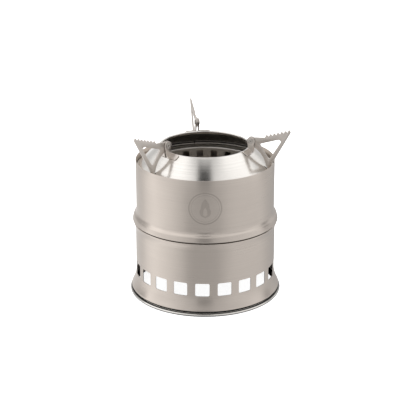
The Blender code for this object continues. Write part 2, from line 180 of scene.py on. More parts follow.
class StoveUpperSizes(bpy.types.PropertyGroup):
    """The upper section: outer shell, fire liner, spacer, centring wire and grate."""

    wall_radius: length(
        "Wall radius", "Outside of the upper wall", reach("outer_wall", WALL_MIDDLE, WALL_TOP),
    )
    skirt_radius: length("Skirt radius", "Outside of the flared lower lip", reach("outer_wall"))
    skirt_straight: length("Straight from", "Height at which the wall starts to flare out below", 0.0856)
    liner_radius: length(
        "Liner radius", "Outside of the fire liner",
        reach("fire_chamber", low_of("fire_chamber"), low_of("fire_chamber") + HAIR),
    )
    floor_bore: length("Floor bore", "Opening under the grate", bore("fire_chamber"))
    flange_bend: length("Flange bend", "Radius of the bend at the top of the liner", 0.0016)
    flange_hem: length("Flange hem", "Depth of the hem inside the outer wall", 0.005)
    jets: number("Air holes", "Square air holes round the top of the liner", 24)
    jet_size: length("Air hole", "Side of a square air hole", 0.0067)
    jet_high: length("Air hole head", "Height of the air holes' upper edges", 0.1277)
    jet_corner: length("Air hole corner", "Radius of an air hole's corners", 0.0008)
    first_jet: angle("First air hole", "Angle of the first air hole", 5.5)
    wire_radius: length("Wire", "Radius of the centring wire", 0.00085)
    wire_split: angle("Wire split", "Gap between the centring wire's ends", 1.0)
    grate_hole: length("Grate hole", "Radius of a hole in the grate", 0.0032)
    grate_pitch: length("Grate pitch", "Distance between the grate's rings of holes", 0.0128)


class StoveRingSizes(bpy.types.PropertyGroup):
    """The pot ring with its hinge tabs and rivets."""

    neck_radius: length("Neck", "Radius of the opening", bore("pot_ring", NECK_TOP - 0.004, NECK_TOP))
    lip_radius: length("Lip", "Radius of the rolled neck lip", 0.0012)
    edge_radius: length("Edge radius", "Outside of the short skirt", reach("pot_ring"))
    edge_height: length("Edge height", "Height of the cone's lower edge", 0.1342)
    bulge: length("Dome", "How far the cone bows out between its edges", 0.0004)
    ear_thickness: length("Tab sheet", "Thickness of a hinge tab", 0.0008)
    ear_gap: length("Tab gap", "From the middle of a support to the inside of a tab", 0.00095)
    ear_head: length("Tab head", "Radius of a tab's round head", 0.0042)
    foot_in: length("Foot from", "Inner radius of a tab's foot on the cone", 0.0447)
    foot_out: length("Foot to", "Outer radius of a tab's foot on the cone", 0.0496)
    foot_length: length("Foot length", "How far a tab's foot reaches round the cone", 0.012)
    foot_lift: length("Foot lift", "Clearance under a tab's foot", 0.00035)
    shank_radius: length("Shank", "Radius of a rivet's shank", 0.0015)
    rivet_bore: length("Rivet bore", "Radius of the hole through a rivet", 0.0008)
    rivet_head: length("Rivet head", "Radius of a rivet's rolled head", 0.0024)
    rivet_hole: length("Rivet hole", "Radius of the holes that a rivet passes through", 0.0018)


class StoveSupportSizes(bpy.types.PropertyGroup):
    """The folding toothed pot supports."""

    thickness: length("Plate", "Thickness of a support", 0.0012)
    head_radius: length("Head", "Radius of the round end at the pivot", 0.0036)
    teeth: number("Teeth", "Teeth along the top edge", 7)
    tooth_depth: length("Tooth depth", "Depth of the notches", 0.002)
    pitch_out: length("Pitch outwards", "Outward step from tooth to tooth", 0.00372)
    pitch_up: length("Pitch upwards", "Upward step from tooth to tooth", 0.001166)
    break_edge: length("Broken edge", "Bevel along the cut edges", 0.00012)


class StoveFinish(bpy.types.PropertyGroup):
    """The colours of the metal."""

    wall: colour("Wall", "Brushed stainless sheet", (0.64, 0.575, 0.52))
    bright: colour("Bright sheet", "Polished stainless sheet", (0.83, 0.8, 0.76))
    inside: colour("Inside", "Dull stainless sheet inside", (0.72, 0.68, 0.63))
    plate: colour("Stamped plate", "Satin stamped stainless", (0.66, 0.61, 0.565))
    wire: colour("Wire", "Drawn stainless wire and rivets", (0.74, 0.71, 0.67))
    mark_size: length("Mark", "Outer radius of the etched mark on the front", 0.0162)
    mark_height: length("Mark height", "Height of the middle of the etched mark", 0.110)


class StoveStage(bpy.types.PropertyGroup):
    """The floor, the light and the camera."""

    distance: length("Distance", "Camera's distance in front of the stove's axis", 1.21894)
    height: length("Height", "Camera's height above the floor", 0.54325)
    pitch: angle("Pitch", "How far the camera looks down", 20.6044)
    turn: angle("Turn", "How far the camera looks to the right", 0.1323)
    lens: bpy.props.FloatProperty(
        name="Lens", description="Focal length", default=112.195, min=1.0, subtype="DISTANCE_CAMERA",
    )
    floor_size: length("Floor", "Side of the floor", 6.0)


SETTINGS = {
    "stove_base": StoveBaseSizes,
    "stove_upper": StoveUpperSizes,
    "stove_ring": StoveRingSizes,
    "stove_support": StoveSupportSizes,
    "stove_finish": StoveFinish,
    "stove_stage": StoveStage,
}


# ---------------------------------------------------------------- profiles

def arc(centre, radius, start, end, count=ARC_STEPS):
    """Points along an arc from start to end degrees, both ends included."""
    points = []
    for i in range(count + 1):
        turn = math.radians(start + (end - start) * i / count)
        points.append((centre[0] + radius * math.cos(turn), centre[1] + radius * math.sin(turn)))
    return points


def rounded(corners, radii, closed=False, count=ARC_STEPS):
    """The line through the corners with each one rounded to its radius."""
    points = []
    last = len(corners) - 1
    for i, corner in enumerate(corners):
        if not radii[i] or (not closed and i in (0, last)):
            points.append(corner)
            continue
        before, after = corners[i - 1], corners[(i + 1) % len(corners)]
        to_before = math.atan2(before[1] - corner[1], before[0] - corner[0])
        to_after = math.atan2(after[1] - corner[1], after[0] - corner[0])
        half = (to_after - to_before + math.pi) % (2 * math.pi) - math.pi
        away = radii[i] / math.sin(abs(half) / 2)
        middle = to_before + half / 2
        centre = (corner[0] + away * math.cos(middle), corner[1] + away * math.sin(middle))
        start = math.degrees(to_before) - math.copysign(90, half)
        end = start + math.degrees(half) - math.copysign(180, half)
        points += arc(centre, radii[i], start, end, count)
    return points


def side_of(line, distance):
    """The line moved sideways, to its right as it is followed."""
    moved = []
    for i, (x, y) in enumerate(line):
        ahead = line[min(i + 1, len(line) - 1)]
        behind = line[max(i - 1, 0)]
        into = Vector((x - behind[0], y - behind[1]))
        out = Vector((ahead[0] - x, ahead[1] - y))
        into = (into if into.length else out).normalized()
        out = (out if out.length else into).normalized()
        along = (into + out).normalized()
        stretch = distance / max(0.3, along.dot(out))
        moved.append((x + along.y * stretch, y - along.x * stretch))
    return moved


def sheet_outline(line, sheet):
    """The closed outline of a sheet whose outer face follows the line, with rounded edges."""
    inner = side_of(line, sheet)
    outline = list(line)
    for outer_end, inner_end in ((line[-1], inner[-1]), (inner[0], line[0])):
        middle = Vector(outer_end).lerp(Vector(inner_end), 0.5)
        start = Vector(outer_end) - middle
        for turn in (-45, -90, -135):
            outline.append(tuple(middle + Matrix.Rotation(math.radians(turn), 2) @ start * 0.98))
        if outer_end == line[-1]:
            outline += reversed(inner)
    return outline


def circle(radius, count):
    """The points of a closed circle about the origin."""
    return arc((0, 0), radius, 0, 360 - 360 / count, count - 1)


# ---------------------------------------------------------------- making meshes

def link(name, data, material=None):
    made = bpy.data.objects.new(name, data)
    bpy.context.scene.collection.objects.link(made)
    if material:
        data.materials.append(material)
    return made


def closed_mesh(name, shape):
    """The mesh of a closed shape, with its faces turned outwards."""
    bmesh.ops.recalc_face_normals(shape, faces=shape.faces)
    mesh = bpy.data.meshes.new(name)
    shape.to_mesh(mesh)
    shape.free()
    return mesh


def lathe(name, outline, finish, steps=ROUND_STEPS):
    """A closed outline of (radius, height) turned round Z."""
    shape = bmesh.new()
    rings = []
    for i in range(steps):
        turn = 2 * math.pi * i / steps
        across, deep = math.cos(turn), math.sin(turn)
        rings.append([shape.verts.new((r * across, r * deep, z)) for r, z in outline])
    for ring, other in zip(rings, rings[1:] + rings[:1]):
        for j in range(len(outline)):
            k = (j + 1) % len(outline)
            shape.faces.new((ring[j], other[j], other[k], ring[k]))
    return link(name, closed_mesh(name, shape), steel(finish))


def turned_sheet(name, line, finish):
    """A sheet whose outer face follows the line of (radius, height), turned round Z."""
    outline = sheet_outline(line, bpy.context.scene.stove_base.sheet)
    return lathe(name, [(max(r, 0.0), z) for r, z in outline], finish)


def evaluated_mesh(obj):
    bpy.context.view_layer.update()
    graph = bpy.context.evaluated_depsgraph_get()
    return bpy.data.meshes.new_from_object(obj.evaluated_get(graph))


def apply_modifiers(obj):
    mesh = evaluated_mesh(obj)
    obj.modifiers.clear()
    obj.data = mesh
    return mesh


def settle(obj, crease=35):
    """Applies the modifiers and shades the piece smooth, but for edges over the crease angle."""
    mesh = apply_modifiers(obj)
    mesh.shade_smooth()
    mesh.set_sharp_from_angle(angle=math.radians(crease))
    return obj


def break_edges(obj, width, sharper_than):
    """Adds a narrow bevel along the edges that are sharper than an angle in degrees."""
    bevel = obj.modifiers.new("Broken edge", "BEVEL")
    bevel.width = width
    bevel.segments = 2
    bevel.limit_method = "ANGLE"
    bevel.angle_limit = math.radians(sharper_than)


def cut(obj, outline, depth, places):
    """Takes a prism of the outline, in XY and depth thick along Z, out of the piece at each place."""
    shape = bmesh.new()
    for place in places:
        low = [shape.verts.new(place @ Vector((x, y, -depth / 2))) for x, y in outline]
        high = [shape.verts.new(place @ Vector((x, y, depth / 2))) for x, y in outline]
        shape.faces.new(list(reversed(low)))
        shape.faces.new(high)
        for i in range(len(outline)):
            j = (i + 1) % len(outline)
            shape.faces.new((low[i], low[j], high[j], high[i]))
    cutter = link("cutter", closed_mesh("cutter", shape))
    boolean = obj.modifiers.new("Cut", "BOOLEAN")
    boolean.operation = "DIFFERENCE"
    boolean.solver = "EXACT"
    boolean.object = cutter
    apply_modifiers(obj)
    bpy.data.objects.remove(cutter, do_unlink=True)


# Turns a prism on its side, with local Z pointing out of a wall and local Y up.
OUTWARDS = Matrix(((0, 0, 1, 0), (1, 0, 0, 0), (0, 1, 0, 0), (0, 0, 0, 1)))


def places_round(count, radius, height, first=0.0, aim=Matrix()):
    """Evenly spaced places round the axis, the first at an angle, each aimed its own way."""
    places = []
    for i in range(count):
        turn = Matrix.Rotation(first + 2 * math.pi * i / count, 4, "Z")
        places.append(turn @ Matrix.Translation((radius, 0, height)) @ aim)
    return places


def window_outline(width, height, corner):
    """An upright window with rounded corners, centred on the origin."""
    x, y = width / 2, height / 2
    return rounded([(x, -y), (x, y), (-x, y), (-x, -y)], [corner] * 4, closed=True)


def add_line(curve, points, height=0.0):
    """A straight-sided spline through the (x, y) points, all at one height."""
    spline = curve.splines.new("POLY")
    spline.points.add(len(points) - 1)
    for point, (x, y) in zip(spline.points, points):
        point.co = (x, y, height, 1)
    return spline


def plate(name, outlines, thickness, finish):
    """A flat plate from closed outlines, the inner ones being holes."""
    curve = bpy.data.curves.new(name, "CURVE")
    curve.dimensions = "2D"
    curve.fill_mode = "BOTH"
    curve.extrude = thickness / 2
    for outline in outlines:
        add_line(curve, outline).use_cyclic_u = True
    flat = link(name + "_outline", curve)
    mesh = evaluated_mesh(flat)
    bpy.data.objects.remove(flat, do_unlink=True)
    shape = bmesh.new()
    shape.from_mesh(mesh)
    bmesh.ops.remove_doubles(shape, verts=shape.verts, dist=0.000001)
    bmesh.ops.dissolve_limit(
        shape, angle_limit=math.radians(1), verts=shape.verts, edges=shape.edges,
    )
    shape.to_mesh(mesh)
    shape.free()
    return link(name, mesh, steel(finish))


def finish_piece(piece, body, node):
    """Makes the piece ride with its body and stand for the frame's node."""
    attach(piece, body)
    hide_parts(node)


# ---------------------------------------------------------------- shader groups

def put(tree, kind, values=None, **settings):
    """A new node with its settings, and the value or the link of each named input."""
    node = tree.nodes.new(kind)
    for name, value in settings.items():
        setattr(node, name, value)
    for name, value in (values or {}).items():
        if isinstance(value, bpy.types.NodeSocket):
            tree.links.new(value, node.inputs[name])
        else:
            node.inputs[name].default_value = value
    return node


def calc(tree, operation, one, two=0.0, three=0.0):
    """The output of a Math node."""
    values = {0: one, 1: two, 2: three}
    return put(tree, "ShaderNodeMath", values, operation=operation).outputs[0]


def times(tree, one, two):
    return calc(tree, "MULTIPLY", one, two)


def band(tree, value, low, high):
    """Nought below low, one above high, and a smooth step between."""
    values = {"Value": value, "From Min": low, "From Max": high}
    return put(tree, "ShaderNodeMapRange", values, interpolation_type="SMOOTHSTEP").outputs["Result"]


def fade(tree, value, low, high):
    """One below low, nought above high, and a smooth step between."""
    return calc(tree, "SUBTRACT", 1.0, band(tree, value, low, high))


def mixed(tree, mask, one, two):
    """The first value where the mask is nought and the second where it is one."""
    values = {"Factor": mask, 2: one, 3: two}
    return put(tree, "ShaderNodeMix", values, data_type="FLOAT").outputs[0]


def split(tree, vector):
    """The X, Y and Z of a vector."""
    return put(tree, "ShaderNodeSeparateXYZ", {0: vector}).outputs


def own_place(tree):
    """The shaded point in the stove's own axes."""
    return put(tree, "ShaderNodeTexCoord").outputs["Object"]


def new_group(name, inputs, output):
    """An empty shader group: itself, its inputs, and a call that puts out its result."""
    group = bpy.data.node_groups.new(name, "ShaderNodeTree")
    for socket, default in inputs.items():
        made = group.interface.new_socket(name=socket, in_out="INPUT", socket_type="NodeSocketFloat")
        made.default_value = default
    group.interface.new_socket(name=output, in_out="OUTPUT", socket_type="NodeSocketFloat")
    result = group.nodes.new("NodeGroupOutput").inputs[0]
    return group, group.nodes.new("NodeGroupInput").outputs, lambda value: group.links.new(value, result)


def line_noise(group, given, along, across, coarser=1.0, detail=3.0):
    """Noise drawn out into lines, from the places along them and across them."""
    length = times(group, given["Line Length"], coarser)
    density = times(group, given["Line Density"], coarser)
    places = {axis: times(group, place, length) for axis, place in along.items()}
    places["Z"] = times(group, across, density)
    stretched = put(group, "ShaderNodeCombineXYZ", places).outputs[0]
    values = {"Vector": stretched, "Scale": 1.0, "Detail": detail, "Roughness": 0.6}
    return put(group, "ShaderNodeTexNoise", values).outputs["Fac"]


def round_brushing_group():
    """Fine lines that run round the axis, as on a wall brushed on a lathe, and broader streaks."""
    group, given, put_out = new_group(
        "Round Brushing", {"Line Length": 12.0, "Line Density": 2600.0, "Streak Share": 0.0}, "Lines",
    )
    place = split(group, own_place(group))
    along = {"X": place["X"], "Y": place["Y"]}
    lines = line_noise(group, given, along, place["Z"])
    streaks = line_noise(group, given, along, place["Z"], coarser=0.12, detail=2.0)
    put_out(mixed(group, given["Streak Share"], lines, streaks))
    return group


def plate_grain_group():
    """Fine lines that run out from the axis, as on a plate cut from brushed strip."""
    group, given, put_out = new_group(
        "Plate Grain", {"Line Length": 60.0, "Line Density": 2400.0}, "Lines",
    )
    place = split(group, own_place(group))
    level = put(group, "ShaderNodeCombineXYZ", {"X": place["X"], "Y": place["Y"]}).outputs[0]
    out = put(group, "ShaderNodeVectorMath", {0: level}, operation="LENGTH").outputs["Value"]
    put_out(line_noise(group, given, {"X": out}, place["Z"]))
    return group


def clouding_group():
    """Soft uneven patches, where sheet has been handled and wiped."""
    group, given, put_out = new_group("Clouding", {"Patch Scale": 38.0}, "Patches")
    noise = put(group, "ShaderNodeTexNoise", {
        "Vector": own_place(group), "Scale": given["Patch Scale"], "Detail": 4.0,
        "Roughness": 0.55, "Distortion": 0.4,
    })
    put_out(band(group, noise.outputs["Fac"], 0.35, 0.7))
    return group


def edge_wear_and_highlight_group():
    """A mask that is one along sharp edges, where cutting and rubbing leave bright metal and a painted
    highlight is laid on.
    """
    group, given, put_out = new_group("Edge Wear", {"Edge Width": 0.0004}, "Edges")
    eased = put(group, "ShaderNodeBevel", {"Radius": given["Edge Width"]}, samples=4).outputs["Normal"]
    plain = put(group, "ShaderNodeNewGeometry").outputs["Normal"]
    facing = put(group, "ShaderNodeVectorMath", {0: eased, 1: plain}, operation="DOT_PRODUCT")
    bent = calc(group, "SUBTRACT", 1.0, facing.outputs["Value"])
    put_out(band(group, bent, 0.01, 0.14))
    return group


def painted_crevice_shade_group():
    """A mask that grows in narrow gaps and tight inside corners, where painted shade darkens the colour.
    """
    group, given, put_out = new_group("Crevice Dirt", {"Reach": 0.002}, "Dirt")
    open_sky = put(group, "ShaderNodeAmbientOcclusion", {"Distance": given["Reach"]}, samples=6)
    put_out(fade(group, open_sky.outputs["AO"], 0.15, 0.6))
    return group


def etched_mark_group():
    """A plain flame in a ring, etched on the front of the wall. Its outer radius counts as one."""
    group, given, put_out = new_group("Etched Mark", {"Mark Height": 0.11, "Mark Radius": 0.016}, "Mark")
    place = split(group, own_place(group))
    size = given["Mark Radius"]
    x = calc(group, "DIVIDE", place["X"], size)
    z = calc(group, "DIVIDE", calc(group, "SUBTRACT", place["Z"], given["Mark Height"]), size)

    def either(one, two):
        return calc(group, "MAXIMUM", one, two)

    def distance_to(across, up):
        dx = calc(group, "SUBTRACT", x, across)
        dz = calc(group, "SUBTRACT", z, up)
        return calc(group, "SQRT", calc(group, "ADD", times(group, dx, dx), times(group, dz, dz)))

    def ring(radius, width):
        off = calc(group, "ABSOLUTE", calc(group, "SUBTRACT", distance_to(0.0, 0.0), radius))
        return fade(group, off, width * 0.5, width * 0.9)

    def within(distance, radius, soft=0.05):
        return fade(group, distance, radius - soft, radius)

    def leaf(up, spread, radius):
        """A leaf with a point above and below: where two circles overlap."""
        return within(either(distance_to(-spread, up), distance_to(spread, up)), radius)

    flame = either(leaf(0.0, 0.55, 0.84), within(distance_to(0.0, -0.22), 0.36))
    hollow = either(leaf(-0.22, 0.28, 0.42), within(distance_to(0.0, -0.34), 0.15))
    flame = times(group, flame, calc(group, "SUBTRACT", 1.0, hollow))
    shape = either(ring(0.96, 0.055), times(group, flame, 0.75))
    shape = either(shape, times(group, ring(0.83, 0.03), 0.6))
    put_out(times(group, shape, calc(group, "LESS_THAN", place["Y"], 0.0)))
    return group


GROUP_MAKERS = {
    "Round Brushing": round_brushing_group,
    "Plate Grain": plate_grain_group,
    "Clouding": clouding_group,
    "Edge Wear": edge_wear_and_highlight_group,
    "Crevice Dirt": painted_crevice_shade_group,
    "Etched Mark": etched_mark_group,
}


def effect(tree, name, **values):
    """The output of a shared effect, placed in a material with its own values."""
    group = bpy.data.node_groups.get(name) or GROUP_MAKERS[name]()
    node = put(tree, "ShaderNodeGroup", node_tree=group)
    for key, value in values.items():
        node.inputs[key.replace("_", " ").title()].default_value = value
    return node.outputs[0]


# ---------------------------------------------------------------- materials

class Steel(NamedTuple):
    """How one steel looks: the finish's colour, its grain, its patches and its gloss."""

    colour: str
    grain: str
    line_length: float
    line_density: float
    patch_scale: float
    roughness: float
    bump: float
    edge_width: float = 0.0
    brightness: float = 1.0
    uneven: float = 1.0  # how much the lines and patches change the roughness
    # dirt: how dark the painted shade in the crevices is
    dirt: float = 0.9  # how dark the crevices are


WALL = Steel("wall", "Round Brushing", 9.0, 2400.0, 26.0, 0.29, 0.25, 0.0004)
STEELS = {
    "wall_steel": WALL,
    "marked_wall_steel": WALL,
    "bright_steel": Steel("bright", "Round Brushing", 5.0, 1400.0, 45.0, 0.17, 0.05, 0.0003, uneven=0.4),
    "inside_steel": Steel("inside", "Round Brushing", 16.0, 900.0, 60.0, 0.42, 0.2, 0.0004),
    "plate_steel": Steel("plate", "Plate Grain", 70.0, 2600.0, 90.0, 0.38, 0.3, 0.00035),
    "tab_steel": Steel("plate", "Plate Grain", 120.0, 1800.0, 160.0, 0.28, 0.2, 0.0005, brightness=1.1),
    "wire_steel": Steel("wire", "Round Brushing", 40.0, 2000.0, 200.0, 0.18, 0.1, dirt=0.3),
}
STREAK_SHARE = 0.15  # of broad streaks in a wall's fine lines
LINE_GLOSS, PATCH_GLOSS, EDGE_GLOSS, MARK_GLOSS = 0.12, 0.05, -0.1, 0.16  # added roughness
MARK_DEPTH = -1.5  # times the height of a brushed line
PATCH_SHARE, EDGE_SHARE = 0.35, 0.7  # how much of their own shade they show
BRUSHED_GLOSS = 0.6  # how far the brushing draws out a wall's reflections
# Reach of the painted shade in crevices.
CREVICE_REACH = 0.0022
BUMP_DEPTH = 0.00002
LINE_SHADES = (0.95, 1.04)  # times the colour, in the furrows and on the ridges
# Times the colour: in patches, on worn edges with a painted highlight, in the etched mark, and for painted
# shade under the cone and in crevices.
PATCH_SHADE, EDGE_WEAR_AND_HIGHLIGHT_SHADE, MARK_SHADE, PAINTED_UNDER_SHADE, PAINTED_CREVICE_SHADE = 0.93, 1.35, 0.78, 0.35, 0.1
# SEAM: the collar is darkened there as painted shade in the gap over the bead.
SEAM = (0.0024, 0.0028)  # heights between which the foot ring's collar darkens
SEAM_TOP = 0.02


def blend_colour(tree, mask, one, two):
    """The first colour where the mask is nought and the second where it is one."""
    values = {0: mask}
    for index, value in ((6, one), (7, two)):
        values[index] = value if isinstance(value, bpy.types.NodeSocket) else (*value, 1.0)
    return put(tree, "ShaderNodeMix", values, data_type="RGBA").outputs[2]


def shaded(colour_value, factor):
    return tuple(min(1.0, part * factor) for part in colour_value)


def draw_out_gloss(tree, shader):
    """Spreads the reflections across lines that run round the axis."""
    shader.inputs["Anisotropic"].default_value = BRUSHED_GLOSS
    shader.inputs["Anisotropic Rotation"].default_value = 0.25
    tangent = put(tree, "ShaderNodeTangent", direction_type="RADIAL", axis="Z").outputs[0]
    tree.links.new(tangent, shader.inputs["Tangent"])


def painted_underside_shade(tree):
    """A mask that is one where polished sheet faces down, as under the cone, for painted shade there."""
    normal = put(tree, "ShaderNodeNewGeometry").outputs["Normal"]
    return band(tree, times(tree, split(tree, normal)["Z"], -1.0), 0.1, 0.4)


def painted_seam_shade(tree):
    """A mask that is one over the gap between the foot ring's bead and the base wall, for painted shade in
    that gap.
    """
    height = split(tree, own_place(tree))["Z"]
    return times(tree, band(tree, height, *SEAM), calc(tree, "LESS_THAN", height, SEAM_TOP))


def new_steel(name):
    """Colour, roughness and normal from the lines, the patches, the worn edges with their painted
    highlight, and painted shade in the crevices, over the foot seam and under the cone.
    """
    look = STEELS[name]
    finish = bpy.context.scene.stove_finish
    base = shaded(getattr(finish, look.colour), look.brightness)
    made = bpy.data.materials.new(name)
    made.use_nodes = True
    tree = made.node_tree
    shader = tree.nodes["Principled BSDF"]
    shader.inputs["Metallic"].default_value = 1.0
    grain = {"line_length": look.line_length, "line_density": look.line_density}
    if look is WALL:
        draw_out_gloss(tree, shader)
        grain["streak_share"] = STREAK_SHARE
    lines = effect(tree, look.grain, **grain)
    patches = effect(tree, "Clouding", patch_scale=look.patch_scale)
    gaps = effect(tree, "Crevice Dirt", reach=CREVICE_REACH)
    height = lines
    rough = calc(
        tree, "MULTIPLY_ADD", calc(tree, "SUBTRACT", lines, 0.5), LINE_GLOSS * look.uneven, look.roughness,
    )
    rough = calc(tree, "MULTIPLY_ADD", patches, PATCH_GLOSS * look.uneven, rough)
    furrow, ridge = (shaded(base, shade) for shade in LINE_SHADES)
    lit = blend_colour(tree, band(tree, lines, 0.25, 0.75), furrow, ridge)
    lit = blend_colour(tree, times(tree, patches, PATCH_SHARE), lit, shaded(base, PATCH_SHADE))
    if look.edge_width:
        # Worn edges, brightened partly as wear and partly as a painted highlight.
        edges = effect(tree, "Edge Wear", edge_width=look.edge_width)
        lit = blend_colour(tree, times(tree, edges, EDGE_SHARE), lit, shaded(base, EDGE_WEAR_AND_HIGHLIGHT_SHADE))
        rough = calc(tree, "MULTIPLY_ADD", edges, EDGE_GLOSS, rough)
    if name == "marked_wall_steel":
        mark = effect(
            tree, "Etched Mark", mark_height=finish.mark_height, mark_radius=finish.mark_size,
        )
        lit = blend_colour(tree, mark, lit, shaded(base, MARK_SHADE))
        rough = calc(tree, "MULTIPLY_ADD", mark, MARK_GLOSS, rough)
        height = calc(tree, "MULTIPLY_ADD", mark, MARK_DEPTH, lines)
    if name == "bright_steel":
        # Painted shade where polished sheet faces down, as under the cone.
        lit = blend_colour(tree, painted_underside_shade(tree), lit, shaded(base, PAINTED_UNDER_SHADE))
        # Painted shade in the gap over the foot ring's bead.
        gaps = calc(tree, "MAXIMUM", gaps, painted_seam_shade(tree))
    # Painted shade: darkens the colour in crevices and gaps, and over the foot seam.
    lit = blend_colour(tree, times(tree, gaps, look.dirt), lit, shaded(base, PAINTED_CREVICE_SHADE))
    bump = put(tree, "ShaderNodeBump", {
        "Height": height, "Strength": look.bump, "Distance": BUMP_DEPTH,
    }).outputs["Normal"]
    for socket, value in (("Base Color", lit), ("Roughness", rough), ("Normal", bump)):
        tree.links.new(value, shader.inputs[socket])
    return made


def steel(name):
    """The named material, made the first time that it is asked for."""
    return bpy.data.materials.get(name) or new_steel(name)


# ---------------------------------------------------------------- base

BEAD_SWEEP, BEAD_STEPS = 150, 28  # the bead's arc ends this many degrees either side of outwards
FLARE_STEPS, FLARE_POWER = 12, 1.8  # the flare leaves the wall slowly and ends steeply
LEDGE_BENDS = (0, 0.0006, 0.0009, 0.004, 0.01, 0)


class STOVE_OT_foot_ring(bpy.types.Operator):
    """Adds the rolled bead that the stove stands on, with the collar above it"""

    bl_idname = "stove.foot_ring"
    bl_label = "Foot Ring"

    def execute(self, context):
        sizes = context.scene.stove_base
        bead_r = sizes.bead_radius
        collar_top = top_of("foot_ring")
        collar_r = reach("foot_ring", collar_top - HAIR, collar_top)
        centre = (reach("foot_ring") - bead_r, bead_r)
        bead = arc(centre, bead_r, BEAD_SWEEP, -BEAD_SWEEP, BEAD_STEPS)
        outer = rounded(
            [(collar_r, collar_top), (collar_r, bead[0][1]), bead[0]], [0, 0.0003, 0],
        )
        inner = [(collar_r - sizes.sheet, bead[-1][1]), (collar_r - sizes.sheet, collar_top)]
        piece = lathe("foot_bead", outer + bead[1:] + inner, "bright_steel")
        finish_piece(settle(piece), "base", "foot_ring")
        return {"FINISHED"}


class STOVE_OT_base_wall(bpy.types.Operator):
    """Adds the vented base wall, with its flared foot, its ledge and its spigot"""

    bl_idname = "stove.base_wall"
    bl_label = "Base Wall"

    def execute(self, context):
        sizes = context.scene.stove_base
        low = low_of("lower_wall")
        drop = sizes.straight_low - low
        flare = []
        for i in range(1, FLARE_STEPS + 1):
            down = i / FLARE_STEPS
            out = (sizes.flare_radius - sizes.wall_radius) * down**FLARE_POWER
            flare.append((sizes.wall_radius + out, sizes.straight_low - (drop - sizes.curl) * down))
        curl = rounded(
            [flare[-1], (sizes.flare_radius, low), (sizes.flare_radius - sizes.curl, low)],
            [0, sizes.curl * 0.9, 0], count=6,
        )
        ledge = [
            (sizes.spigot_radius, BASE_TOP),
            (sizes.spigot_radius, sizes.ledge_height),
            (sizes.ledge_radius, sizes.ledge_height),
            (sizes.wall_radius + 0.0007, sizes.straight_high + 0.003),
            (sizes.wall_radius, sizes.straight_high),
            (sizes.wall_radius, sizes.straight_low),
        ]
        line = rounded(ledge, LEDGE_BENDS) + flare[:-1] + curl
        wall = turned_sheet("vented_wall", line, "wall_steel")
        height = sizes.vent_high - sizes.vent_low
        window = window_outline(sizes.vent_size, height, sizes.vent_corner)
        middle = (sizes.vent_high + sizes.vent_low) / 2
        cut(wall, window, VENT_CUT, places_round(
            sizes.vents, sizes.wall_radius, middle, sizes.first_vent, OUTWARDS,
        ))
        finish_piece(settle(wall), "base", "lower_wall")
        return {"FINISHED"}


class STOVE_OT_ash_pan(bpy.types.Operator):
    """Adds the slotted shelf inside the base and the ash pan that hangs in it"""

    bl_idname = "stove.ash_pan"
    bl_label = "Shelf and Ash Pan"

    def execute(self, context):
        sizes = context.scene.stove_base
        top, low = top_of("pan_ledge"), low_of("pan_ledge")
        out, inside = reach("pan_ledge"), bore("pan_ledge")
        line = rounded([(inside, top), (out, top), (out, low)], [0, PRESS_BEND, 0])
        shelf = turned_sheet("pan_shelf", line, "inside_steel")
        slot = window_outline(*SLOT_SIZES)
        places = places_round(sizes.slots, SLOT_CIRCLE, top, math.pi / sizes.slots)
        cut(shelf, slot, SLOT_CUT, places)
        finish_piece(settle(shelf), "base", "pan_ledge")

        rim, floor = top_of("ash_pan"), low_of("ash_pan") + sizes.sheet
        pan_r = sizes.pan_radius
        corners = [
            (reach("ash_pan"), rim),
            (pan_r, rim),
            (pan_r - 0.001, floor + 0.002),
            (pan_r - 0.003, floor),
            (pan_r * 0.62, floor),
            (pan_r * 0.6, floor + 0.0005),
            (pan_r * 0.56, floor + 0.0005),
            (pan_r * 0.54, floor),
            (AXIS_GAP, floor),
        ]
        radii = [0, 0.0011, 0.002, 0.002, 0.0004, 0.0004, 0.0004, 0.0004, 0]
        pan = turned_sheet("ash_dish", rounded(corners, radii), "inside_steel")
        finish_piece(settle(pan), "ash_pan", "ash_pan")
        return {"FINISHED"}


# ---------------------------------------------------------------- upper section

class STOVE_OT_outer_shell(bpy.types.Operator):
    """Adds the plain upper wall, whose foot flares out over the base's ledge"""

    bl_idname = "stove.outer_shell"
    bl_label = "Outer Shell"

    def execute(self, context):
        sizes = context.scene.stove_upper
        low = low_of("outer_wall")
        out = sizes.skirt_radius - sizes.wall_radius
        drop = sizes.skirt_straight - low
        corners = [
            (sizes.wall_radius, WALL_TOP),
            (sizes.wall_radius, WALL_MIDDLE),
            (sizes.wall_radius, sizes.skirt_straight - drop * 0.14),
            (sizes.wall_radius + out * 0.68, sizes.skirt_straight - drop * 0.46),
            (sizes.skirt_radius, low + 0.0007),
            (sizes.skirt_radius, low),
            (sizes.skirt_radius - 0.0007, low),
        ]
        line = rounded(corners, [0, 0, 0.006, 0.005, 0.0015, 0.0003, 0])
        shell = turned_sheet("outer_shell", line, "marked_wall_steel")
        finish_piece(settle(shell), "upper_section", "outer_wall")
        return {"FINISHED"}


